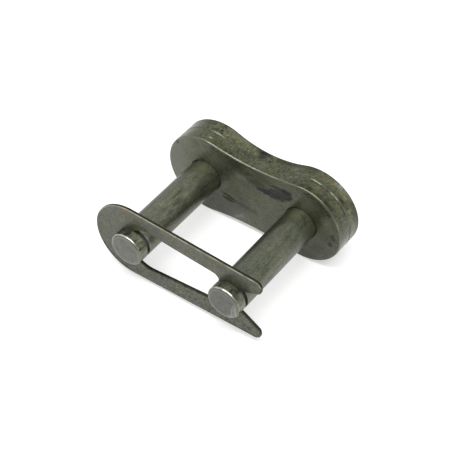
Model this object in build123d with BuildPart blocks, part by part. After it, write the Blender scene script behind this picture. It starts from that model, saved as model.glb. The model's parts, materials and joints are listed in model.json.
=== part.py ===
from build123d import *
import math
import os

# Connecting link of a single-strand roller chain, size 60 (12A-1): two bearing pins riveted into one
# side plate, a loose side plate that slips over their free ends, and a spring clip in their grooves.
# It stands as it is stored: the loose plate pushed back against the riveted one, and the clip on.
#
# The origin is on the left pin's axis, at the riveted plate's inner face. +X runs along the pitch line
# to the right pin, -Y along the pins to their free ends, and +Z up the height of the plates.
# Lengths are in millimetres. What lies "along the pins" is measured from the origin to the free ends.

# Chain size
pitch = 19.05
pin_radius = 5.94 / 2
pin_places = ((0, 0), (pitch, 0))

# Side plates, blanked from strip
plate_thickness = 2.7
plate_end_radius = 7.66
riveted_waist_height = 11.7
loose_waist_height = 13.55
loose_outer_roll = 0.3  # on the edge of the face that looks away from the other plate
riveted_outer_bevel = 0.15
plate_inner_bevel = 0.15
loose_hole_radius = pin_radius + 0.04
loose_hole_lead = 0.08  # the bevel round its holes, on the face that looks at the clip
stored_gap = 0.02  # between the two plates where they lie together

# Bearing pins, turned, with the clip groove near the free end
pin_reach = 23.93
pin_end_roll = 0.3
groove_front = 22.08
groove_back = 21.42
groove_radius = 2.3

# The riveted end of a pin, spread over the plate's outer face
rivet_height = 0.9
rivet_base_radius = 3.5
rivet_crown_radius = 3.1
rivet_crown_bevel = 0.2
rivet_dish_radius = 1.9
rivet_dish_depth = 0.3

# Spring clip, stamped from thin spring steel: a closed end round the left pin and two prongs that run
# past the right one. Its prongs taper to these corners, which are rounded.
clip_thickness = 0.6
clip_end_centre = (-0.45, 0)
clip_end_radius = 7.12
upper_prong_corner = (24.8, 6.04)
lower_prong_corner = (24.8, -6.67)
prong_tip_radius = 1.15
clip_front_bevel = 0.14
clip_back_bevel = 0.08
grip_radius = groove_radius + 0.05

# The mouth between the prongs narrows to the throat, which keeps the clip on the right pin.
throat_reach = 20.45
throat_half_height = 1.91
upper_mouth_angle = 23.3
lower_mouth_angle = 32.5
mouth_end = 26

# The pocket between the pins is tall enough for a pin's free end to pass. A neck joins it to the grip.
pocket_round_centre = (3.3, 0)
pocket_round_radius = 4.1
pocket_corner = (16.87, 3.03)
pocket_corner_radius = 1.12
neck_half_height = 1.55
nose_radius = 0.2

# Two lengths closer than this are the same, where an edge or a corner is picked by its place.
same = 0.01


def plate_outline(waist_height):
    """Figure of eight: two round ends with a hollow waist above and below, tangent to one another."""
    half_waist = waist_height / 2
    gap = plate_end_radius - half_waist
    waist_radius = (pitch**2 / 4 + half_waist**2 - plate_end_radius**2) / (2 * gap)
    run_out = Vector(pitch / 2, half_waist + waist_radius).normalized() * plate_end_radius
    left, right, top = run_out.X, pitch - run_out.X, run_out.Y
    with BuildSketch() as outline:
        with BuildLine():
            ThreePointArc((left, -top), (-plate_end_radius, 0), (left, top))
            ThreePointArc((left, top), (pitch / 2, half_waist), (right, top))
            ThreePointArc((right, top), (pitch + plate_end_radius, 0), (right, -top))
            ThreePointArc((right, -top), (pitch / 2, -half_waist), (left, -top))
        make_face()
    return outline.sketch


def tapered_outline(round_centre, round_radius, upper_corner, lower_corner):
    """A round on the left, and its straight tangents to an upper and a lower corner on the right."""
    centre = Vector(*round_centre)

    def tangent_point(corner, side):
        reach = Vector(*corner) - centre
        swing = side * math.degrees(math.acos(round_radius / reach.length))
        return centre + reach.normalized().rotate(Axis.Z, swing) * round_radius

    upper_tangent = tangent_point(upper_corner, 1)
    lower_tangent = tangent_point(lower_corner, -1)
    with BuildSketch() as outline:
        with BuildLine():
            ThreePointArc(upper_tangent, centre - Vector(round_radius, 0), lower_tangent)
            Polyline(lower_tangent, lower_corner, upper_corner, upper_tangent)
        make_face()
    return outline.sketch


def rim_of(part, end):
    """The outline's edges on one flat face of a plate or clip: end 0 faces -Y, end -1 faces +Y."""
    return part.faces().filter_by(Axis.Y).sort_by(Axis.Y)[end].outer_wire().edges()


def circles_at(part, reach):
    """The round edges of a plate or pin that lie at one place along Y, the largest last."""
    level = part.edges().filter_by(GeomType.CIRCLE).filter_by_position(Axis.Y, reach - same, reach + same)
    return level.sort_by(SortBy.RADIUS)


riveted_outline = plate_outline(riveted_waist_height)
with BuildPart() as riveted_plate:
    with BuildSketch(Plane.XZ.offset(-plate_thickness)):
        add(riveted_outline)
        with Locations(*pin_places):
            Circle(pin_radius, mode=Mode.SUBTRACT)
    extrude(amount=plate_thickness)
    chamfer(rim_of(riveted_plate, -1), riveted_outer_bevel)
    chamfer(rim_of(riveted_plate, 0), plate_inner_bevel)

loose_outline = plate_outline(loose_waist_height)
with BuildPart() as loose_plate:
    with BuildSketch(Plane.XZ.offset(stored_gap)):
        add(loose_outline)
        with Locations(*pin_places):
            Circle(loose_hole_radius, mode=Mode.SUBTRACT)
    extrude(amount=plate_thickness)
    front_rims = circles_at(loose_plate, -stored_gap - plate_thickness)
    chamfer(front_rims.filter_by(lambda rim: rim.is_closed), loose_hole_lead)
    fillet(rim_of(loose_plate, 0), loose_outer_roll)
    chamfer(rim_of(loose_plate, -1), plate_inner_bevel)


def bearing_pin(x):
    """One pin at x: free end, clip groove, bearing length, and the end that is spread over the plate."""
    crown = plate_thickness + rivet_height
    dish_bottom = crown - rivet_dish_depth
    with BuildPart() as pin:
        with BuildSketch(Plane((x, 0, 0))):
            with BuildLine():
                Polyline(
                    (0, dish_bottom),
                    (rivet_dish_radius, crown),
                    (rivet_crown_radius, crown),
                    (rivet_base_radius, plate_thickness),
                    (pin_radius, plate_thickness),
                    (pin_radius, -groove_back),
                    (groove_radius, -groove_back),
                    (groove_radius, -groove_front),
                    (pin_radius, -groove_front),
                    (pin_radius, -pin_reach),
                    (0, -pin_reach),
                    (0, dish_bottom),
                )
            make_face()
        revolve(axis=Axis((x, 0, 0), (0, 1, 0)))
        chamfer(circles_at(pin, crown)[-1], rivet_crown_bevel)
        fillet(circles_at(pin, -pin_reach), pin_end_roll)
    return pin.part


def mouth_heights(angle):
    """How far one side of the mouth stands from the pitch line, at the right pin and at its open end."""
    slope = math.tan(math.radians(angle))
    at_pin = throat_half_height - (throat_reach - pitch) * slope
    at_end = throat_half_height + (mouth_end - throat_reach) * slope
    return at_pin, at_end


def is_nose(corner):
    """Whether a corner of the clip's slot sticks inwards: where a grip ends, or where the neck begins."""
    from_pins = [(Vector(corner) - Vector(*place)).length for place in pin_places]
    ends_a_grip = any(abs(distance - grip_radius) < same for distance in from_pins)
    at_pocket_end = abs(corner.X - pocket_corner[0]) < same
    begins_the_neck = at_pocket_end and abs(abs(corner.Y) - neck_half_height) < same
    return ends_a_grip or begins_the_neck


upper_at_pin, upper_at_end = mouth_heights(upper_mouth_angle)
lower_at_pin, lower_at_end = mouth_heights(lower_mouth_angle)
lower_pocket_corner = (pocket_corner[0], -pocket_corner[1])
pocket = tapered_outline(pocket_round_centre, pocket_round_radius, pocket_corner, lower_pocket_corner)
neck_reach = pitch - pocket_round_centre[0]
with BuildSketch() as slot:
    add(pocket)
    fillet(slot.vertices().sort_by(Axis.X)[-2:], pocket_corner_radius)
    with Locations(pocket_round_centre):
        Rectangle(neck_reach, 2 * neck_half_height, align=(Align.MIN, Align.CENTER))
    with Locations(*pin_places):
        Circle(grip_radius)
    Polygon(
        (pitch, upper_at_pin),
        (mouth_end, upper_at_end),
        (mouth_end, -lower_at_end),
        (pitch, -lower_at_pin),
        align=None,
    )
    fillet(slot.vertices().filter_by(is_nose), nose_radius)

clip_back = (groove_front + groove_back - clip_thickness) / 2
clip_blank = tapered_outline(clip_end_centre, clip_end_radius, upper_prong_corner, lower_prong_corner)
with BuildPart() as spring_clip:
    with BuildSketch(Plane.XZ.offset(clip_back)):
        add(clip_blank)
        add(slot.sketch, mode=Mode.SUBTRACT)
    extrude(amount=clip_thickness)
    tip_corners = spring_clip.edges().filter_by(Axis.Y).group_by(Axis.X)[-1]
    fillet(tip_corners, prong_tip_radius)
    chamfer(rim_of(spring_clip, 0), clip_front_bevel)
    chamfer(rim_of(spring_clip, -1), clip_back_bevel)

os.makedirs("parts", exist_ok=True)
pieces = {
    "riveted_plate": riveted_plate.part,
    "loose_plate": loose_plate.part,
    "left_pin": bearing_pin(0),
    "right_pin": bearing_pin(pitch),
    "spring_clip": spring_clip.part,
}
for name, piece in pieces.items():
    piece.label = name
    export_step(piece, f"parts/{name}.step")
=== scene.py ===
import functools
import json
import math
from typing import NamedTuple

import bpy
from mathutils import Euler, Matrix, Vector


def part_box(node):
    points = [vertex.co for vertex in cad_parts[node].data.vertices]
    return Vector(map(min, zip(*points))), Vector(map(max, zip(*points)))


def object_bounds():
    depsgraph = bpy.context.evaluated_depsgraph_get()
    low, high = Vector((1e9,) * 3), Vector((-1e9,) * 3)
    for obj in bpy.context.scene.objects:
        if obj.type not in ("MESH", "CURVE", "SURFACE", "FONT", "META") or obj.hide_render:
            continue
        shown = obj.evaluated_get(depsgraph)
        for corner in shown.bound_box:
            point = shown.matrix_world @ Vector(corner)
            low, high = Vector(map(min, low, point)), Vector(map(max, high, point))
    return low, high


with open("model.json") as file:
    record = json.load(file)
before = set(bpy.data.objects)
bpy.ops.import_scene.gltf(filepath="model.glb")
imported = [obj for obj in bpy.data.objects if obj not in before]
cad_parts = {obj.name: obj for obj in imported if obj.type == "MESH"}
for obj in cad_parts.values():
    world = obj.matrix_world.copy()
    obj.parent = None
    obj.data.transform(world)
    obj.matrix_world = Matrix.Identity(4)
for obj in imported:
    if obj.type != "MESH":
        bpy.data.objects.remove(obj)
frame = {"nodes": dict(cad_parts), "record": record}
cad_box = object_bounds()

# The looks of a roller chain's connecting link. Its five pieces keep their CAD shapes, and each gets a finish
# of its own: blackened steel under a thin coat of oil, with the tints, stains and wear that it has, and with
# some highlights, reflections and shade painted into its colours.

MM = 0.001

# Where the camera stands, and how it is turned, in the frame of the connecting link
CAMERA_PLACE = (0.10834, -0.14337, 0.17009)
CAMERA_TURN = (44.177, 0.363, 36.087)  # degrees about X, Y and Z
CAMERA_LENS = 116.84  # in millimetres, as the width of the sensor
SENSOR_WIDTH = 36

# The studio, in metres and watts
FLOOR_MIDDLE = (0.01, -0.01)
FLOOR_SIZE = 4
LAMP_PLACE = (0.03, -0.095, 0.38)
LAMP_AIM = (0.01, -0.012, 0)
LAMP_SIZE = (0.5, 0.12)
LAMP_POWER = 1.45


def corners_of(node):
    """The lowest and the highest corner of a piece, in millimetres."""
    return [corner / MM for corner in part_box(node)]


def axis_of(seat):
    """Where a pin's axis meets the riveted plate's inner face, in millimetres. Its bush seat starts there."""
    places = {mount["name"]: mount["pos_m"] for mount in frame["record"]["mounts"]}
    return tuple(Vector(places[seat]) / MM)


# What the finishes follow, in millimetres. The pins run along Y, and their free ends are at -Y. The riveted
# plate lies at Y 0 to 2.7, and the loose plate in front of it at -2.72 to -0.02.
LEFT_AXIS = axis_of("left_bush_seat")
RIGHT_AXIS = axis_of("right_bush_seat")
PIN_END = corners_of("left_pin")[0].y
RIVET_TOP = corners_of("left_pin")[1].y
LOOSE_FACE = corners_of("loose_plate")[0].y
CLIP_LOWEST, CLIP_HIGHEST = corners_of("spring_clip")
CLIP_FACE = CLIP_LOWEST.y
CLIP_PLAY = 0.03  # between the clip and each side of the pins' groove
GROOVE_FRONT = CLIP_FACE - CLIP_PLAY
GROOVE_BACK = CLIP_HIGHEST.y + CLIP_PLAY
CLIP_END_RADIUS = -CLIP_LOWEST.z  # the clip's round end reaches the lowest
CLIP_END_CENTRE = (CLIP_LOWEST.x + CLIP_END_RADIUS, 0, 0)

# Oiled steel
METALLIC = 0.68  # bare metal is 1, and the oxide and oil on it take that down
OIL_COAT = 0.25
OIL_ROUGHNESS = 0.16

# The sockets of a Mix node that are for colours: its two inputs, and its result
MIX_FROM, MIX_TO, MIXED = 6, 7, 2


class Value:
    """A number that varies over a surface, for use in Python expressions. Each one adds a Math node."""

    def __init__(self, nodes, socket):
        self.nodes = nodes
        self.socket = socket

    def __add__(self, other):
        return self.nodes.math("ADD", self, other)

    def __radd__(self, other):
        return self.nodes.math("ADD", other, self)

    def __sub__(self, other):
        return self.nodes.math("SUBTRACT", self, other)

    def __rsub__(self, other):
        return self.nodes.math("SUBTRACT", other, self)

    def __mul__(self, other):
        return self.nodes.math("MULTIPLY", self, other)

    def __rmul__(self, other):
        return self.nodes.math("MULTIPLY", other, self)

    def __abs__(self):
        return self.nodes.math("ABSOLUTE", self)

    def larger(self, other):
        """The larger of this and other at each place."""
        return self.nodes.math("MAXIMUM", self, other)

    def step(self, low, high):
        """0 below low and 1 above high, with a smooth rise between. With low above high it falls."""
        settings = {"interpolation_type": "SMOOTHSTEP"}
        inputs = {"Value": self, "From Min": low, "From Max": high}
        return self.nodes.node("ShaderNodeMapRange", settings, inputs)

    def between(self, start, end, soft):
        """1 from start to end and 0 outside, with edges that are soft over that distance."""
        return self.step(start - soft, start) * self.step(end + soft, end)


class Nodes:
    """A node tree, and the ways of adding to it."""

    def __init__(self, tree):
        self.tree = tree

    def node(self, kind, settings, inputs, output=0):
        """Adds a node: its settings first, and then the number, colour or link of each socket."""
        made = self.tree.nodes.new(kind)
        for name, setting in settings.items():
            setattr(made, name, setting)
        for name, value in inputs.items():
            self.feed(made.inputs[name], value)
        return Value(self, made.outputs[output])

    def feed(self, socket, value):
        """Gives a socket a link, a colour or a number."""
        if isinstance(value, Value):
            self.tree.links.new(value.socket, socket)
        elif socket.type == "RGBA" and len(value) == 3:
            socket.default_value = (*value, 1)
        else:
            socket.default_value = value

    def math(self, operation, *terms):
        return self.node("ShaderNodeMath", {"operation": operation}, dict(enumerate(terms)))

    def vector(self, operation, *terms):
        return self.node("ShaderNodeVectorMath", {"operation": operation}, dict(enumerate(terms)))

    def length_of(self, vector):
        return self.node("ShaderNodeVectorMath", {"operation": "LENGTH"}, {0: vector}, "Value")

    def mix(self, share, colour, other):
        """From colour at 0 to other at 1."""
        inputs = {"Factor": share, MIX_FROM: colour, MIX_TO: other}
        return self.node("ShaderNodeMix", {"data_type": "RGBA"}, inputs, MIXED)

    def tone(self, colour, level):
        """The colour made lighter or darker, times level."""
        return self.node("ShaderNodeVectorMath", {"operation": "SCALE"}, {0: colour, "Scale": level})

    def seen_directly(self):
        """1 for what the camera, a mirror or a glass shows, and 0 for what lights other surfaces."""
        camera, glossy, through = (
            self.node("ShaderNodeLightPath", {}, {}, ray)
            for ray in ("Is Camera Ray", "Is Glossy Ray", "Is Transmission Ray")
        )
        return camera.larger(glossy).larger(through)


class Spot(NamedTuple):
    """A ragged spot of oil, tint or wear, or of painted light or shade, on a piece. Its lengths are in
    millimetres.
    """

    centre: tuple
    reach: tuple  # half its size along X, Y and Z, before it is turned
    angle: float = 0  # degrees about the line along Y through its centre
    ragged: float = 0.5  # how far its edge is torn, as a share of its reach
    soft: float = 0.5  # how far in from its edge it fades, as a share of its reach
    strength: float = 1


class Finish(Nodes):
    """A material: one Principled shader, and the nodes that vary it over the surface."""

    def __init__(self, name):
        self.material = bpy.data.materials.new(name)
        self.material.use_nodes = True
        super().__init__(self.material.node_tree)
        self.shader = self.tree.nodes["Principled BSDF"]
        self.stained = None
        place = self.node("ShaderNodeTexCoord", {}, {}, "Object")
        self.place = self.vector("MULTIPLY", place, (1 / MM, 1 / MM, 1 / MM))  # in millimetres
        self.x, self.y, self.z = self.parts_of(self.place)
        facing = self.node("ShaderNodeTexCoord", {}, {}, "Normal")
        self.facing_x, self.facing_y, self.facing_z = self.parts_of(facing)
        self.flat = abs(self.facing_y).step(0.93, 0.985)  # the faces that look along Y
        self.wall = abs(self.facing_y).step(0.3, 0.08)  # the surfaces that run along Y
        self.edge = 1 - self.flat.larger(self.wall)  # the rolls and bevels between those

    def parts_of(self, vector):
        """The X, Y and Z of a vector."""
        return [self.node("ShaderNodeSeparateXYZ", {}, {0: vector}, part) for part in range(3)]

    def turned(self, centre, angle):
        """Places turned by that many degrees about the line along Y through centre."""
        inputs = {"Vector": self.place, "Center": centre, "Angle": math.radians(angle)}
        return self.node("ShaderNodeVectorRotate", {"rotation_type": "Y_AXIS"}, inputs)

    def noise(self, size, detail=4, stretch=(1, 1, 1), seed=0, distortion=0, angle=0):
        """A cloudy pattern round 0.5, with blotches of about that size in millimetres.

        stretch makes them longer along X, Y or Z, and seed shows another part of the pattern.
        """
        place = self.turned((0, 0, 0), angle) if angle else self.place
        spread = self.vector("DIVIDE", place, tuple(size * part for part in stretch))
        moved = self.vector("ADD", spread, (seed, 2.3 * seed, -1.7 * seed))
        inputs = {"Vector": moved, "Scale": 1, "Detail": detail, "Roughness": 0.6, "Distortion": distortion}
        return self.node("ShaderNodeTexNoise", {}, inputs)

    def from_axis(self, axis):
        """The distance from the line along Y through axis."""
        away = self.vector("SUBTRACT", self.place, axis)
        return self.length_of(self.vector("MULTIPLY", away, (1, 0, 1)))

    def spot(self, spot):
        """How strong a spot is at each place. Beyond it that is 0."""
        away = self.vector("SUBTRACT", self.turned(spot.centre, spot.angle), spot.centre)
        distance = self.length_of(self.vector("DIVIDE", away, spot.reach))
        tears = self.noise(0.45, stretch=(1.6, 1.6, 1), seed=spot.centre[0]) - 0.5
        torn = distance + tears * (2 * spot.ragged)
        return torn.step(1, 1 - spot.soft) * spot.strength

    def spots(self, spots):
        """How strong the strongest of several spots is at each place."""
        return functools.reduce(Value.larger, [self.spot(spot) for spot in spots])

    def bump(self, height, depth):
        """Relief of that depth, in millimetres, where height goes from 0 to 1."""
        return self.node("ShaderNodeBump", {}, {"Height": height, "Distance": depth * MM, "Strength": 1})

    def set(self, **inputs):
        """Feeds the shader. A socket's name is written with _ for its spaces."""
        for name, value in inputs.items():
            self.feed(self.shader.inputs[name.replace("_", " ").title()], value)

    def stain(self, share, skin, colour):
        """The skin with that share of a dark stain over it, which also takes the shine of the oil away. In
        places the stain is painted shade.
        """
        self.stained = share if self.stained is None else self.stained.larger(share)
        return self.mix(share, skin, colour)

    def oiled(self, skin, roughness, relief):
        """Dull dark metal under a thin coat of oil."""
        metallic = METALLIC + self.stained * (1 - METALLIC)
        oil = OIL_COAT - self.stained * OIL_COAT
        self.set(base_color=skin, metallic=metallic, roughness=roughness, normal=relief)
        self.set(coat_weight=oil, coat_roughness=OIL_ROUGHNESS)


# Oil on the steel. The dark oil and the thick oil also stand for painted shade in places
DARK_OIL_AND_SHADE = (0.026, 0.028, 0.015)
OIL_VIOLET = (0.022, 0.020, 0.024)
OLIVE_FILM = (0.042, 0.048, 0.022)
THICK_OIL_AND_SHADE = (0.066, 0.070, 0.053)

# Tints of the oxide. The straw ones also paint light over shade in places
RUST_TINT = (0.120, 0.080, 0.040)
GREEN_TINT = (0.060, 0.082, 0.034)
STRAW_AND_PAINTED_LIGHT = (0.128, 0.132, 0.080)
PALE_STRAW_AND_PAINTED_LIGHT = (0.152, 0.159, 0.122)
DEEP_STRAW_AND_PAINTED_LIGHT = (0.165, 0.178, 0.100)
PALE_GREY = (0.132, 0.136, 0.118)
BLUE_GREY = (0.060, 0.064, 0.066)
BRONZE_TINT = (0.125, 0.080, 0.052)

# Steel that is worn, scratched, turned, riveted or sheared. Some of these colours also paint highlights and
# light over shade in places
WORN_STEEL_AND_HIGHLIGHT = (0.39, 0.40, 0.31)
WORN_CLIP_HIGHLIGHT = (0.38, 0.36, 0.27)
WORN_CROWN_HIGHLIGHT = (0.56, 0.56, 0.50)
SCUFF_AND_PAINTED_LIGHT = (0.21, 0.21, 0.19)
WALL_SCUFF = (0.24, 0.25, 0.20)
DRY_STREAK = (0.22, 0.22, 0.18)
TURNED_RING = (0.18, 0.184, 0.158)
TURNED_GROOVE_AND_PAINTED_LIGHT = (0.25, 0.25, 0.24)
HAMMERED_RIVET = (0.150, 0.154, 0.132)
ROLLED_EDGE = (0.072, 0.077, 0.052)
SHEARED_EDGE = (0.018, 0.018, 0.012)


def skin_of(finish, warm, cool, lean, clouds, streak):
    """The mottled skin of a piece, in a warm and a cool colour. A higher lean makes more of it cool.

    clouds has the size and strength of each pattern of blotches. streak has the size, stretch and strength
    of the streaks along Y, which are on the walls.
    """
    finish.grain = finish.noise(0.22, seed=9)
    skin = finish.mix((finish.noise(2.3, seed=17) + lean).step(0.36, 0.64), warm, cool)
    level = 1
    for number, (size, strength) in enumerate(clouds):
        cloud = finish.noise(size, detail=2, seed=4 * number + 1, distortion=0.5)
        level = level + (cloud - 0.5) * strength
    size, stretch, strength = streak
    finish.streaks = finish.noise(size, detail=3, stretch=(1, stretch, 1), seed=13, distortion=0.8)
    level = level + finish.wall * (finish.streaks - 0.5) * strength
    return finish.tone(skin, level)


# The side plates

PLATE_CLOUDS = ((6.0, 1.0), (2.2, 0.7), (0.8, 0.6), (0.3, 1.7))
PLATE_STREAK = (0.28, 4, 1.9)
SMEAR_ANGLE = -14


def plate_skin(finish, face, wall, busy):
    """A side plate: smooth smeared faces, and a wall with the upright marks and tints of blanking.

    face and wall are each a warm and a cool colour. busy has how much stronger each pattern of blotches is
    on the wall, and the smears are stronger there by the first of these.
    """
    warm, cool = (finish.mix(finish.wall, *colours) for colours in zip(face, wall))
    clouds = [
        (size, strength + finish.wall * more)
        for (size, strength), more in zip(PLATE_CLOUDS, busy)
    ]
    lean = finish.flat * (0.12 - finish.z.step(-6, 3) * 0.24)
    skin = skin_of(finish, warm, cool, lean, clouds, PLATE_STREAK)
    smears = finish.noise(0.7, detail=3, stretch=(4, 1, 1), seed=89, distortion=0.6, angle=SMEAR_ANGLE)
    skin = finish.tone(skin, 1 + (smears - 0.5) * (0.5 + finish.wall * busy[0]))
    rust = finish.noise(1.3, seed=21, distortion=0.6).step(0.56, 0.68)
    green = finish.noise(1.9, seed=25, distortion=0.6).step(0.54, 0.66)
    straw = finish.noise(1.5, seed=45, distortion=0.6).step(0.57, 0.68)
    flecks = finish.noise(0.4, detail=2, seed=81, stretch=(1, 1.8, 1)).step(0.62, 0.72)
    pits = finish.noise(0.7, detail=3, seed=49, distortion=0.8, stretch=(1.8, 1, 1)).step(0.56, 0.70)
    skin = finish.mix(finish.wall * rust * 0.4, skin, RUST_TINT)
    skin = finish.mix(finish.wall * green * 0.5, skin, GREEN_TINT)
    skin = finish.mix(finish.wall * straw * 0.4, skin, STRAW_AND_PAINTED_LIGHT)
    skin = finish.mix(finish.wall * flecks * 0.4, skin, SCUFF_AND_PAINTED_LIGHT)
    return finish.stain(finish.wall * pits * 0.35, skin, DARK_OIL_AND_SHADE)


def close_plate(finish, skin, worn):
    """The edges, worn bright and partly painted as their highlight, the relief and the gloss of a side plate.
    """
    skin = finish.mix(finish.edge * 0.6, skin, ROLLED_EDGE)
    # worn is the share of wear and of painted highlight on the edges
    skin = finish.mix(finish.edge * worn, skin, WORN_STEEL_AND_HIGHLIGHT)
    relief = finish.grain * 0.5 + finish.wall * finish.streaks
    roughness = 0.40 + (finish.grain - 0.5) * 0.3 - finish.edge * 0.18
    finish.oiled(skin, roughness, finish.bump(relief, 0.03))
    return finish


# The riveted plate: its warm and cool colours, and the spots on its wall
RIVETED_FACE_SKIN = ((0.070, 0.077, 0.042), (0.076, 0.082, 0.056))
RIVETED_WALL_SKIN = ((0.078, 0.081, 0.036), (0.070, 0.074, 0.040))
WALL_STRAW = (
    Spot((3.4, 2.0, 6.6), (3.6, 1.3, 1.8), ragged=0.9, soft=0.9),
    Spot((22.6, 2.1, 6.4), (3.0, 1.0, 2.0), ragged=0.9, soft=0.9),
)
WALL_RUST = (
    Spot((21.6, 1.6, 7.2), (1.2, 1.0, 1.0), ragged=0.9, soft=0.8),
    Spot((15.0, 1.6, 6.5), (1.4, 0.9, 0.9), ragged=0.9, soft=0.8),
)
WALL_SCRATCHES = Spot((22.9, 2.25, 6.5), (2.1, 0.7, 1.9), ragged=0.9, soft=0.8)
WALL_BLOT = Spot((24.2, 0.6, 5.2), (0.9, 0.45, 0.9))
WALL_SMEAR = (
    Spot((8.5, 2.2, 5.9), (1.7, 1.2, 1.5), ragged=0.4, soft=0.8),
    Spot((8.6, 1.1, 5.9), (0.9, 1.3, 1.2), ragged=0.4, soft=0.9, strength=0.8),
)
# Where the seam between the plates is worn bright, which also paints its highlight
SEAM_WEAR_AND_HIGHLIGHT = (
    Spot((0.7, 0, 7.6), (1.9, 0.5, 1), ragged=0.3),
    Spot((19.9, 0, 7.6), (1.4, 0.5, 1), ragged=0.4),
    Spot((23.4, 0, 6.3), (1.2, 0.5, 1.3), ragged=0.4),
)


def film_on_wall(finish):
    """Where an olive film lies on the riveted plate's wall, in stretches along X."""
    outer_stretches = finish.x.between(11.5, 18.4, 1.2).larger(finish.x.step(24.8, 26.2))
    film = finish.y.step(0.8, 2.2) * outer_stretches
    film = film.larger(finish.y.step(0.2, 1.0) * finish.x.between(16.2, 18.6, 1) * 0.6)
    film = film.larger(finish.y.step(1.4, 0.6) * finish.x.between(20.6, 25, 1) * 0.4)
    film = film.larger(finish.y.step(0.5, 2.4) * finish.x.step(0.5, -2.5))
    return finish.wall * film


def riveted_plate_finish():
    """Straw and rust tints on the wall, oil along its outer rim, a violet smear, and a seam worn bright and
    painted partly as its highlight.
    """
    finish = Finish("riveted_plate_steel")
    skin = plate_skin(finish, RIVETED_FACE_SKIN, RIVETED_WALL_SKIN, busy=(0.6, 1.4, 1.7, 2.3))
    skin = finish.mix(finish.spots(WALL_STRAW) * 0.75, skin, STRAW_AND_PAINTED_LIGHT)
    skin = finish.mix(finish.spots(WALL_RUST) * 0.5, skin, RUST_TINT)
    skin = finish.stain(film_on_wall(finish) * 0.8, skin, OLIVE_FILM)
    outer_rim = (finish.edge + finish.wall) * finish.y.step(2.35, 2.6) * finish.y.step(3.2, 2.8)
    skin = finish.stain(outer_rim * 0.9, skin, DARK_OIL_AND_SHADE)
    lines = finish.noise(0.5, detail=3, seed=117, stretch=(1, 2.2, 1)).step(0.38, 0.58)
    skin = finish.mix(finish.spot(WALL_SCRATCHES) * lines * 0.85, skin, WALL_SCUFF)
    skin = finish.stain(finish.spot(WALL_BLOT) * 0.8, skin, DARK_OIL_AND_SHADE)
    uneven = 0.45 + finish.noise(0.5, seed=93, stretch=(1, 2, 1))
    skin = finish.stain(finish.spots(WALL_SMEAR) * uneven, skin, OIL_VIOLET)
    broken = 0.5 + finish.noise(0.7, seed=105, detail=2).step(0.4, 0.6) * 0.5
    # The seam's wear and painted highlight, on the riveted plate's inner bevel only
    painted_light = finish.spots(SEAM_WEAR_AND_HIGHLIGHT) * broken
    return close_plate(finish, skin, (0.06 + painted_light * 0.85) * finish.y.step(1.5, 1.0))


# The loose plate: its warm and cool colours, and the spots on its front face and its wall
LOOSE_FACE_SKIN = ((0.065, 0.072, 0.034), (0.065, 0.071, 0.047))
LOOSE_WALL_SKIN = ((0.064, 0.070, 0.030), (0.059, 0.065, 0.036))
FACE_SPOT_DEPTH = 0.5


def face_spot(x, z, half_length, half_height, angle=0, **look):
    """A spot on the loose plate's front face. look is how ragged, soft and strong it is."""
    return Spot((x, LOOSE_FACE, z), (half_length, FACE_SPOT_DEPTH, half_height), angle, **look)


# Straw on the face, which round the pins' roots also paints light over their shade
FACE_STRAW_AND_PAINTED_LIGHT = (
    face_spot(2.4, 4.6, 4.2, 3.6, ragged=0.8, soft=0.9),
    face_spot(20.2, 4.8, 3.4, 3.0, ragged=0.8, soft=0.9),
    face_spot(23.6, 3.0, 1.5, 1.8, ragged=0.8, soft=0.9, strength=0.8),
    face_spot(7.2, 3.6, 1.8, 1.3, ragged=0.8, soft=0.9, strength=0.6),
    face_spot(3.2, 1.0, 1.8, 3.0, ragged=0.8, soft=0.9, strength=0.8),
)
FACE_BLUE = face_spot(4.2, -5.9, 3.6, 2.6, 20, ragged=0.7, soft=0.9)
FACE_BRIGHT = face_spot(10.5, -5.4, 4.5, 2.0, 5, ragged=0.7, soft=0.9)
# Painted shade between the pins
FACE_SHADE_BETWEEN_PINS = face_spot(7.8, 0.2, 3.2, 1.9, 10, ragged=0.6, soft=0.9)
OILY_BRIM = face_spot(11.5, 6.6, 8.5, 1.7, ragged=0.6, soft=0.9)
OIL_FILM = face_spot(9.4, 5.3, 5.2, 2.1, -8, ragged=0.6, soft=0.3)
FILM_PATCHES = (
    face_spot(8.6, 4.95, 1.5, 0.5, 13),
    face_spot(10.3, 3.95, 2.3, 0.8, 8),
    face_spot(7.1, 5.5, 1.2, 0.6, 10, soft=0.6, strength=0.8),
)
VIOLET_SMUDGE = (
    face_spot(12.5, 3.1, 2.8, 0.75, 3, soft=0.4),
    face_spot(14.5, 3.6, 2.5, 1.4, 10, soft=0.4),
    face_spot(14.6, 5.0, 1.8, 0.55, 2, soft=0.4, strength=0.8),
    face_spot(16.0, 4.5, 1.6, 1.5, 20, soft=0.4),
)
OIL_STROKES = (
    face_spot(4.9, -2.25, 2.0, 0.42, -12, ragged=0.4),
    face_spot(4.7, -2.95, 1.7, 0.42, -4, ragged=0.4),
)
STROKES_TAIL = face_spot(8.0, -2.8, 3.6, 0.75, -6, soft=0.9)
FACE_PITS = (
    face_spot(25.2, 0.1, 0.75, 0.9, ragged=0.9, soft=0.7),
    face_spot(24.8, -1.6, 0.6, 0.7, ragged=0.9, soft=0.7),
    face_spot(24.2, 4.7, 0.7, 0.5, 30, ragged=0.9, soft=0.7),
    face_spot(-5.7, 4.4, 0.45, 0.6, ragged=0.7, soft=0.7),
)
FACE_SCUFF = face_spot(7.0, -5.5, 1.9, 0.55, 35, ragged=0.9, soft=0.8)
WALL_NICK = Spot((0.25, -1.5, 7.66), (0.4, 0.28, 0.4), ragged=0.3, soft=0.6)


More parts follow.
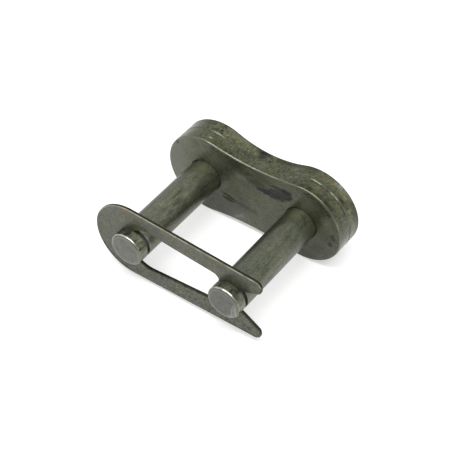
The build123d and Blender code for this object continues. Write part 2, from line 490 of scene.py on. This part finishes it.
def tinted_face(finish, skin, front):
    """The loose plate's clean face: paler towards its left end, with straw and blue places on it, straw that
    also paints light over the shade round the pins' roots, and painted shade between the pins.
    """
    skin = finish.tone(skin, 0.96 + finish.flat * finish.x.step(1, -3.5) * 0.36)
    skin = finish.mix(finish.flat * finish.x.step(-2, -6) * 0.6, skin, PALE_GREY)
    skin = finish.mix(front * finish.spots(FACE_STRAW_AND_PAINTED_LIGHT) * 0.85, skin, PALE_STRAW_AND_PAINTED_LIGHT)
    skin = finish.mix(front * finish.spot(FACE_BLUE) * 0.6, skin, BLUE_GREY)
    lighter = finish.spot(FACE_BRIGHT) * 0.2 - finish.spot(FACE_SHADE_BETWEEN_PINS) * 0.16
    return finish.tone(skin, 1 + front * lighter)


def oily_face(finish, skin, front):
    """The oil on the loose plate's face: a wiped film, a violet smudge, two strokes and some pits."""
    skin = finish.stain(front * finish.spot(OILY_BRIM) * 0.3, skin, OLIVE_FILM)
    lanes = finish.noise(0.9, detail=3, seed=85, stretch=(3.2, 1, 1), distortion=0.9, angle=SMEAR_ANGLE)
    film = finish.spot(OIL_FILM) * (0.16 + lanes.step(0.42, 0.56) * 0.5)
    film = film.larger(finish.spots(FILM_PATCHES) * 0.9)
    skin = finish.stain(front * film, skin, OLIVE_FILM)
    lines = finish.noise(0.45, seed=54, detail=2, stretch=(4.5, 1, 1), distortion=0.5, angle=4)
    violet = finish.spots(VIOLET_SMUDGE) * (0.72 + lines.step(0.4, 0.56) * 0.28)
    skin = finish.stain(front * violet, skin, OIL_VIOLET)
    strokes_and_pits = (finish.spots(OIL_STROKES) * 0.95).larger(finish.spots(FACE_PITS) * 0.75)
    skin = finish.stain(front * strokes_and_pits, skin, DARK_OIL_AND_SHADE)
    return finish.stain(front * finish.spot(STROKES_TAIL) * 0.6, skin, DARK_OIL_AND_SHADE)


def wall_shade_light_and_nick(finish, skin):
    """The loose plate's wall: painted shade behind its front edge and in the seam, painted light on the
    underside of its right end, and a nick.
    """
    # Painted shade: a dark line behind the front edge's highlight, and one in the seam between the plates
    behind_edge = finish.y.between(-2.4, -1.9, 0.5) * (0.25 + finish.x.between(18.5, 24, 1.5) * 0.7)
    along_seam = finish.x.between(18.8, 22.4, 0.6).larger(finish.x.between(24, 25.6, 0.6))
    in_seam = finish.y.step(-0.5, -0.2) * along_seam * 0.84
    broken = finish.noise(1.0, seed=57).step(0.3, 0.6)
    edge_and_seam_shade = finish.wall * behind_edge.larger(in_seam) * broken
    skin = finish.stain(edge_and_seam_shade * 0.8, skin, DARK_OIL_AND_SHADE)
    # Painted light on the underside of the right end
    painted_light = finish.wall * finish.facing_z.step(0.05, -0.3) * finish.x.step(24, 25)
    skin = finish.mix(painted_light * 0.85, skin, SCUFF_AND_PAINTED_LIGHT)
    return finish.mix(finish.spot(WALL_NICK) * 0.6, skin, WORN_STEEL_AND_HIGHLIGHT)


def loose_plate_finish():
    """A tinted and oily front face, painted shade and light on its wall, and a front edge with a broken
    painted highlight.
    """
    finish = Finish("loose_plate_steel")
    skin = plate_skin(finish, LOOSE_FACE_SKIN, LOOSE_WALL_SKIN, busy=(0.0, 0.2, 0.5, 2.2))
    front = finish.flat * finish.y.step(LOOSE_FACE + 0.7, LOOSE_FACE + 0.2)
    skin = tinted_face(finish, skin, front)
    skin = oily_face(finish, skin, front)
    skin = finish.mix(front * finish.spot(FACE_SCUFF) * 0.35, skin, SCUFF_AND_PAINTED_LIGHT)
    skin = wall_shade_light_and_nick(finish, skin)
    left_edge = finish.edge * finish.facing_x.step(-0.15, -0.5) * finish.x.step(0, -3)
    skin = finish.stain(left_edge * 0.6, skin, DARK_OIL_AND_SHADE)
    # The front edge's painted highlight, in worn steel, broken along it and fainter at the right lobe
    glint = finish.noise(2.6, seed=29).step(0.35, 0.65)
    fainter_highlight = 1 - finish.x.between(19.5, 25, 1) * 0.8
    return close_plate(finish, skin, (0.06 + glint * 0.17) * fainter_highlight)


# The bearing pins

PIN_WARM = (0.105, 0.114, 0.067)
PIN_COOL = (0.096, 0.104, 0.074)
PIN_END_WARM = (0.092, 0.097, 0.074)
PIN_END_COOL = (0.104, 0.107, 0.092)
PIN_CLOUDS = ((5.0, 0.9), (1.9, 0.5), (0.8, 0.35), (0.3, 1.3))
PIN_STREAK = (0.4, 7, 0.9)


def drawn_pin(finish, skin):
    """The streaks and the fine oily veins that run along a pin."""
    drawn = finish.noise(0.9, detail=3, stretch=(1, 5, 1), seed=101, distortion=0.6)
    skin = finish.tone(skin, 1 + finish.wall * (drawn - 0.5) * 0.7)
    ridges = finish.noise(1.4, detail=2, stretch=(1, 6, 1), seed=109, distortion=0.9)
    veins = abs(ridges - 0.5).step(0.06, 0.0) * finish.noise(2.2, seed=113, stretch=(1, 2, 1)).step(0.45, 0.6)
    right_side = finish.wall * finish.facing_x.between(0.4, 0.8, 0.2)
    return finish.stain(right_side * veins * 0.4, skin, DARK_OIL_AND_SHADE)


def pin_by_plate(finish, skin, axis):
    """The straw tints on a pin in front of the loose plate, which also paint light over the shade there."""
    patchy = finish.noise(1.6, seed=61).step(0.4, 0.6)
    # Straw tint and painted light, lifting the shade on the pin next to the plate
    near_plate_tint_and_light = finish.wall * finish.y.between(-4.6, -2.7, 1.6) * patchy
    skin = finish.mix(near_plate_tint_and_light * 0.5, skin, STRAW_AND_PAINTED_LIGHT)
    # A paler straw spot on top of the pin's root, partly painted light over its shade
    root = Spot((axis[0] - 0.2, -3.9, 2.95), (1.7, 1.7, 1.2), ragged=0.7, soft=0.8)
    return finish.mix(finish.wall * finish.spot(root) * 0.7, skin, DEEP_STRAW_AND_PAINTED_LIGHT)


def oily_pin(finish, skin, left_oil_and_shade, streaks):
    """The oil on a pin: stains all along it, thick oil and painted shade on its left, a painted dark
    reflection of the plate on its left near the plate, painted shade on its lower right side, and single
    streaks.
    """
    stains = finish.noise(0.8, detail=3, stretch=(1, 4, 1), seed=65, distortion=0.8).step(0.58, 0.70)
    skin = finish.stain(finish.wall * stains * 0.3, skin, DARK_OIL_AND_SHADE)
    # Thick oil and painted shade on the left side, darkening its reflection away from the plate
    left_side_shade = finish.wall * finish.facing_x.step(-0.15, -0.6) * finish.y.step(-3.5, -7.5)
    skin = finish.stain(left_side_shade * left_oil_and_shade, skin, THICK_OIL_AND_SHADE)
    # A painted dark reflection of the plate on the left side near it, and painted shade on the lower right
    # side
    plate_reflection = finish.facing_x.step(-0.3, -0.7) * finish.y.step(-7.5, -4.5)
    underside_shade = finish.facing_z.between(-0.3, -0.1, 0.2) * finish.facing_x.step(0.2, 0.5)
    skin = finish.stain(finish.wall * (plate_reflection * 0.35).larger(underside_shade * 0.36), skin, DARK_OIL_AND_SHADE)
    for streak in streaks:
        skin = finish.stain(finish.spot(streak) * 0.6, skin, DARK_OIL_AND_SHADE)
    return skin


def pin_end(finish, skin, from_axis, end_tone, scuffs):
    """A pin's free end: its speckled face with scuffs, a turned ring, and a painted dark reflection along the
    top of its edge.
    """
    end = finish.y.step(PIN_END + 0.2, PIN_END + 0.1)
    speckle = 1 + (finish.grain - 0.5) * 1.2 + (finish.noise(0.7, seed=69) - 0.5) * 1.2
    face = finish.mix(finish.noise(1.1, seed=33).step(0.35, 0.65), PIN_END_WARM, PIN_END_COOL)
    skin = finish.mix(end * finish.flat, skin, finish.tone(face, end_tone * speckle))
    ring = end * from_axis.step(2.25, 2.5) * from_axis.step(2.8, 2.7)
    uneven = 0.5 + (finish.noise(0.6, seed=37) - 0.5) * 1.5
    skin = finish.mix(ring * uneven, skin, TURNED_RING)
    for scuff in scuffs:
        skin = finish.mix(finish.spot(scuff) * 0.85, skin, SCUFF_AND_PAINTED_LIGHT)
    # Painted dark reflection beside the crown's highlight, on the upper half only
    line = finish.y.step(PIN_END + 0.3, PIN_END + 0.2) * from_axis.between(2.68, 2.8, 0.08)
    return finish.mix(line * finish.z.step(0.8, 1.9) * 0.6, skin, DARK_OIL_AND_SHADE)


def crown_wear_and_highlight(finish, skin, crown):
    """The rolled edge round a pin's free end, painted bright along its top as its highlight, with some wear,
    and a little at its sides.
    """
    # Painted highlight where the crown faces up, fainter to the right, with a little more at its sides
    painted_light = finish.facing_z.step(0.4, 0.75) * (1 - finish.facing_x.step(0.4, 0.75) * 0.7)
    painted_light = painted_light.larger(finish.facing_x.step(0.4, 0.8) * 0.2)
    painted_light = painted_light.larger(finish.facing_x.step(-0.2, -0.5) * 0.25)
    patchy = 0.55 + finish.noise(0.5, seed=97).step(0.38, 0.6) * 0.4
    return finish.mix(crown * painted_light * patchy, skin, WORN_CROWN_HIGHLIGHT)


def rivet_head(finish, skin, from_axis):
    """The riveted end of a pin, hammered on top, with oil in its dish and a worn edge."""
    top = finish.flat * finish.y.step(RIVET_TOP - 0.7, RIVET_TOP - 0.5)
    hammered = finish.noise(0.8, seed=121).step(0.3, 0.6)
    skin = finish.mix(top * hammered * 0.7, skin, HAMMERED_RIVET)
    pooled = 0.5 + finish.noise(0.5, seed=125).step(0.4, 0.6) * 0.4
    skin = finish.stain(top * from_axis.step(2.2, 1.7) * pooled, skin, OLIVE_FILM)
    worn = finish.edge * finish.y.step(RIVET_TOP - 0.6, RIVET_TOP - 0.3)
    return finish.mix(worn * 0.3, skin, WORN_STEEL_AND_HIGHLIGHT)


def clip_groove(finish, skin, from_axis):
    """The turned groove, lightened as bare metal and with painted light over its shade, the lip behind it,
    and the head in front of it with dark and dry streaks.
    """
    # The groove's floor, made paler to paint light over the shade in it
    groove = finish.y.between(GROOVE_FRONT, GROOVE_BACK, 0.02) * from_axis.step(2.6, 2.45)
    skin = finish.mix(groove * 0.8, skin, TURNED_GROOVE_AND_PAINTED_LIGHT)
    behind_groove = finish.y.between(GROOVE_BACK - 0.05, GROOVE_BACK + 0.05, 0.05)
    lip = finish.flat * from_axis.step(2.75, 2.9) * behind_groove
    skin = finish.mix(lip * 0.7, skin, SCUFF_AND_PAINTED_LIGHT)
    head = finish.wall * finish.y.step(GROOVE_FRONT, GROOVE_FRONT - 0.1)
    streaks = finish.noise(0.5, detail=3, stretch=(1, 3, 1), seed=73, distortion=0.5)
    skin = finish.tone(skin, 1 + head * 0.25)
    skin = finish.stain(head * streaks.step(0.50, 0.62) * 0.6, skin, DARK_OIL_AND_SHADE)
    return finish.mix(head * streaks.step(0.46, 0.36) * 0.55, skin, DRY_STREAK)


def pin_finish(name, axis, tone, end_tone, left_oil_and_shade, streaks, scuffs):
    """A pin, from its root at the plates to its free end, with its rivet head and its clip groove.

    tone and end_tone are how light its side and its end face are. left_oil_and_shade is how strongly thick
    oil and painted shade darken its left side.
    """
    finish = Finish(name)
    skin = finish.tone(skin_of(finish, PIN_WARM, PIN_COOL, 0, PIN_CLOUDS, PIN_STREAK), tone)
    skin = drawn_pin(finish, skin)
    skin = pin_by_plate(finish, skin, axis)
    skin = oily_pin(finish, skin, left_oil_and_shade, streaks)
    from_axis = finish.from_axis(axis)
    skin = pin_end(finish, skin, from_axis, end_tone, scuffs)
    crown = finish.y.step(PIN_END + 0.45, PIN_END + 0.35) * (1 - finish.flat)
    skin = crown_wear_and_highlight(finish, skin, crown)
    skin = rivet_head(finish, skin, from_axis)
    skin = clip_groove(finish, skin, from_axis)
    relief = finish.grain * 0.5 + finish.wall * finish.streaks * 0.6
    roughness = 0.38 + (finish.grain - 0.5) * 0.3 - crown * 0.2
    finish.oiled(skin, roughness, finish.bump(relief, 0.02))
    return finish


def left_pin_finish():
    """The lighter pin, with dark streaks along its top, and thick oil and painted shade on its left side."""
    return pin_finish(
        "left_pin_steel",
        LEFT_AXIS,
        tone=1.04,
        end_tone=1.0,
        left_oil_and_shade=0.95,
        streaks=(
            Spot((1.66, -12.7, 2.46), (0.3, 2.0, 0.3), ragged=0.8, soft=0.8),
            Spot((0.72, -11.3, 2.88), (0.3, 2.1, 0.3), ragged=0.8, soft=0.8),
        ),
        scuffs=(Spot((2.6, -21.3, 1.4), (1.1, 0.32, 1.8), ragged=0.1, soft=0.3),),
    )


def right_pin_finish():
    """The darker pin, with a stain on its right side and a scratched end."""
    return pin_finish(
        "right_pin_steel",
        RIGHT_AXIS,
        tone=0.94,
        end_tone=0.85,
        left_oil_and_shade=0.55,
        streaks=(Spot((22.0, -15.8, 0.0), (0.6, 1.7, 0.8), ragged=0.9, soft=0.8),),
        scuffs=(
            Spot((21.3, -23.8, -0.6), (0.55, 0.9, 1.8), 12, ragged=0.9, soft=0.8),
            Spot((20.5, -23.9, -2.1), (1.0, 0.4, 0.5), 30, ragged=0.9, soft=0.8),
            Spot((20.7, -23.93, -0.9), (0.25, 0.2, 1.1), ragged=0.6, soft=0.8),
        ),
    )


# The spring clip

CLIP_WARM = (0.076, 0.077, 0.046)
CLIP_COOL = (0.070, 0.072, 0.052)
CLIP_STREAK = (0.5, 3, 0.5)
BRONZE_PLACES = (
    Spot((-1.6, CLIP_FACE, 6.4), (1.6, 1, 0.7), 10, ragged=0.7, soft=0.8),
    Spot((6.4, CLIP_FACE, 6.4), (1.3, 1, 0.5), ragged=0.7, soft=0.8),
)
DARK_SPECKS_AND_SHADE = (
    Spot((22.6, CLIP_FACE, -5.2), (0.45, 1, 0.4)),
    # Painted shade near the right pin's head
    Spot((18.5, CLIP_FACE, -5.9), (0.4, 1, 0.3)),
)


def spring_clip_finish():
    """Speckled more on the lower prong, with painted shade near the right pin's head, dark on its sheared
    wall, and worn bright on its upper front edge, painted partly as its highlight.
    """
    finish = Finish("spring_clip_steel")
    low = finish.z.step(-2, -4)
    clouds = ((4.0, 0.6), (1.6, 0.7), (0.7, 1.1 + low), (0.28, 1.8 + low * 2.2))
    skin = skin_of(finish, CLIP_WARM, CLIP_COOL, 0, clouds, CLIP_STREAK)
    skin = finish.tone(skin, 0.88 + finish.z.step(-2, 3) * 0.12)
    skin = finish.mix(finish.spots(BRONZE_PLACES) * 0.6, skin, BRONZE_TINT)
    specks = finish.noise(0.4, detail=2, seed=77).step(0.64, 0.72) * 0.7
    skin = finish.stain(finish.spots(DARK_SPECKS_AND_SHADE).larger(specks) * 0.7, skin, DARK_OIL_AND_SHADE)
    rim = finish.from_axis(CLIP_END_CENTRE).step(CLIP_END_RADIUS - 1.0, CLIP_END_RADIUS - 0.2)
    lower_left = finish.x.step(0, -2.5) * finish.z.step(-2, -4.5)
    skin = finish.stain(rim * lower_left * 0.7, skin, DARK_OIL_AND_SHADE)
    skin = finish.stain(finish.wall * 0.85, skin, SHEARED_EDGE)
    # The upper front edges, where the overhead light falls, get a painted highlight of worn steel; the other
    # edges are darkened
    upper = finish.facing_z.step(0, 0.4) * finish.z.step(2, 4)
    upper_edge = finish.edge * upper * finish.y.step(CLIP_FACE + 0.35, CLIP_FACE + 0.15)
    skin = finish.stain(finish.edge * (1 - upper_edge) * 0.4, skin, DARK_OIL_AND_SHADE)
    worn = upper_edge * (0.35 + finish.noise(1.6, seed=41).step(0.35, 0.6) * 0.5)
    skin = finish.mix(worn, skin, WORN_CLIP_HIGHLIGHT)
    roughness = 0.42 + (finish.grain - 0.5) * 0.3 - upper_edge * 0.18
    finish.oiled(skin, roughness, finish.bump(finish.grain, 0.012))
    return finish


def dress(node, finish):
    """Shows a piece with that finish."""
    piece = frame["nodes"][node]
    for slot in piece.material_slots:
        slot.material = finish.material


dress("riveted_plate", riveted_plate_finish())
dress("loose_plate", loose_plate_finish())
dress("left_pin", left_pin_finish())
dress("right_pin", right_pin_finish())
dress("spring_clip", spring_clip_finish())


# The studio


def make_floor():
    """A pale floor under the link, which looks white and keeps its soft shadow."""
    floor_level = cad_box[0].z
    bpy.ops.mesh.primitive_plane_add(size=FLOOR_SIZE, location=(*FLOOR_MIDDLE, floor_level))
    floor = bpy.context.object
    floor.name = "floor"
    finish = Finish("floor_paper")
    fibre = finish.noise(30, seed=2)
    paper = finish.mix(fibre, (0.68, 0.68, 0.68), (0.72, 0.72, 0.72))
    lift = finish.mix(finish.seen_directly(), (0, 0, 0), (0.5, 0.5, 0.5))
    finish.set(base_color=paper, roughness=1.0, emission_color=lift, emission_strength=1.0)
    floor.data.materials.append(finish.material)


def make_world():
    """White to look at, and softer as a light."""
    world = bpy.data.worlds.new("studio")
    world.use_nodes = True
    nodes = Nodes(world.node_tree)
    glow = nodes.mix(nodes.seen_directly(), (0.55, 0.55, 0.55), (1, 1, 1))
    nodes.feed(world.node_tree.nodes["Background"].inputs["Color"], glow)
    bpy.context.scene.world = world


def make_lamp():
    """A long soft lamp above the link and in front of it."""
    data = bpy.data.lights.new("overhead_softbox", "AREA")
    data.shape = "RECTANGLE"
    data.size, data.size_y = LAMP_SIZE
    data.energy = LAMP_POWER
    lamp = bpy.data.objects.new("overhead_softbox", data)
    lamp.location = LAMP_PLACE
    beam = Vector(LAMP_AIM) - lamp.location
    lamp.rotation_euler = beam.to_track_quat("-Z", "Y").to_euler()
    bpy.context.scene.collection.objects.link(lamp)


def make_camera():
    """A long lens that looks down on the free ends of the pins from the right."""
    data = bpy.data.cameras.new("camera")
    data.lens = CAMERA_LENS
    data.sensor_width = SENSOR_WIDTH
    data.clip_start = 0.01
    camera = bpy.data.objects.new("camera", data)
    camera.location = CAMERA_PLACE
    camera.rotation_euler = Euler([math.radians(turn) for turn in CAMERA_TURN])
    bpy.context.scene.collection.objects.link(camera)
    bpy.context.scene.camera = camera


make_floor()
make_world()
make_lamp()
make_camera()
bpy.context.scene.view_settings.view_transform = "Standard"
